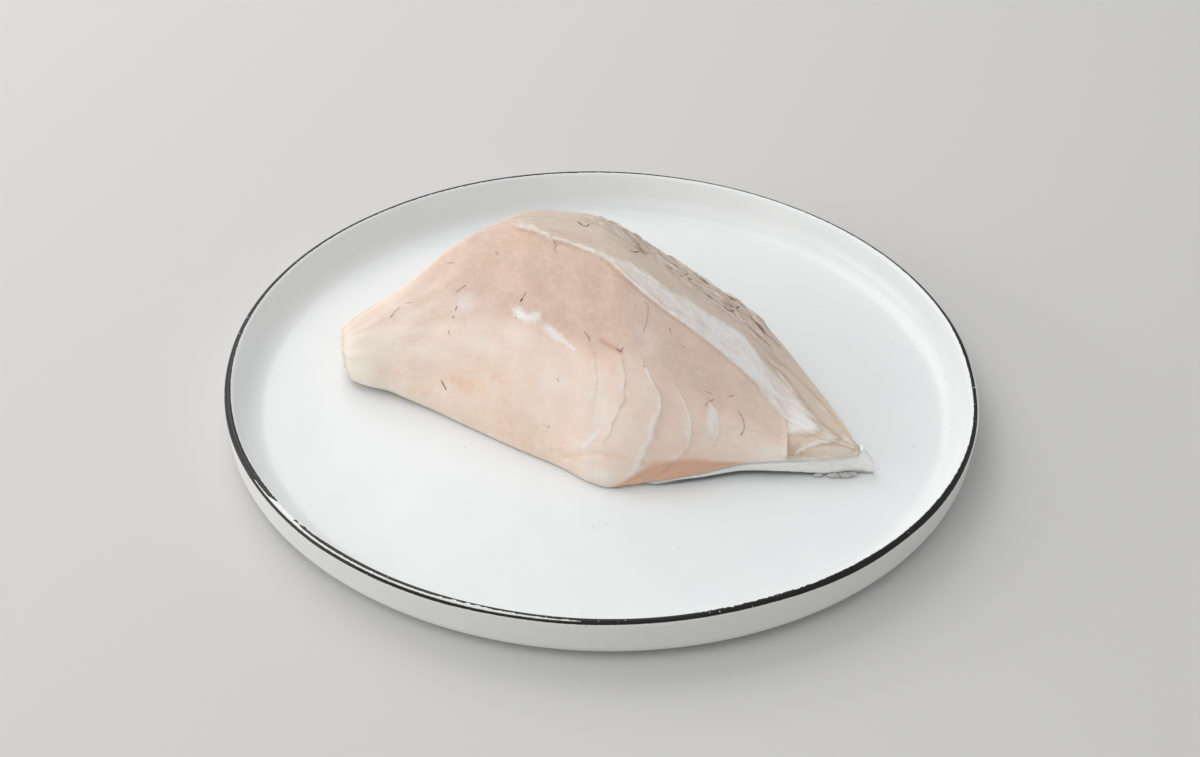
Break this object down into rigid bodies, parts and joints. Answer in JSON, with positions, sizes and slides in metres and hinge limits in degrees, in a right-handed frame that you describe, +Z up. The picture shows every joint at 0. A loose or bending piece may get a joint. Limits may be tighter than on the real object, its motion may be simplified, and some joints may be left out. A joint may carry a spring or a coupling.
{
  "type": "plate of raw fish loin",
  "caption": "Thick pale raw fish loin with stepped flakes and a white layer beneath, resting on a low round white plate with an upright rim.",
  "frame": {"origin": "centre of the plate's foot, on the surface that the plate stands on", "axes": "+Z up, +X towards the loin's pointed tip, -Y towards whoever sits at the plate"},
  "size_m": [0.28, 0.28, 0.0522],
  "materials": {
    "glazed_stoneware": "white glaze over stoneware, glossy, with a black painted rim",
    "raw_fish_flesh": "moist raw white fish, satin",
    "connective_tissue": "moist white connective tissue, satin"
  },
  "bodies": {
    "root": {"plate": "glazed_stoneware", "loin_flesh": "raw_fish_flesh", "white_underlayer": "connective_tissue"}
  },
  "joints": []
}
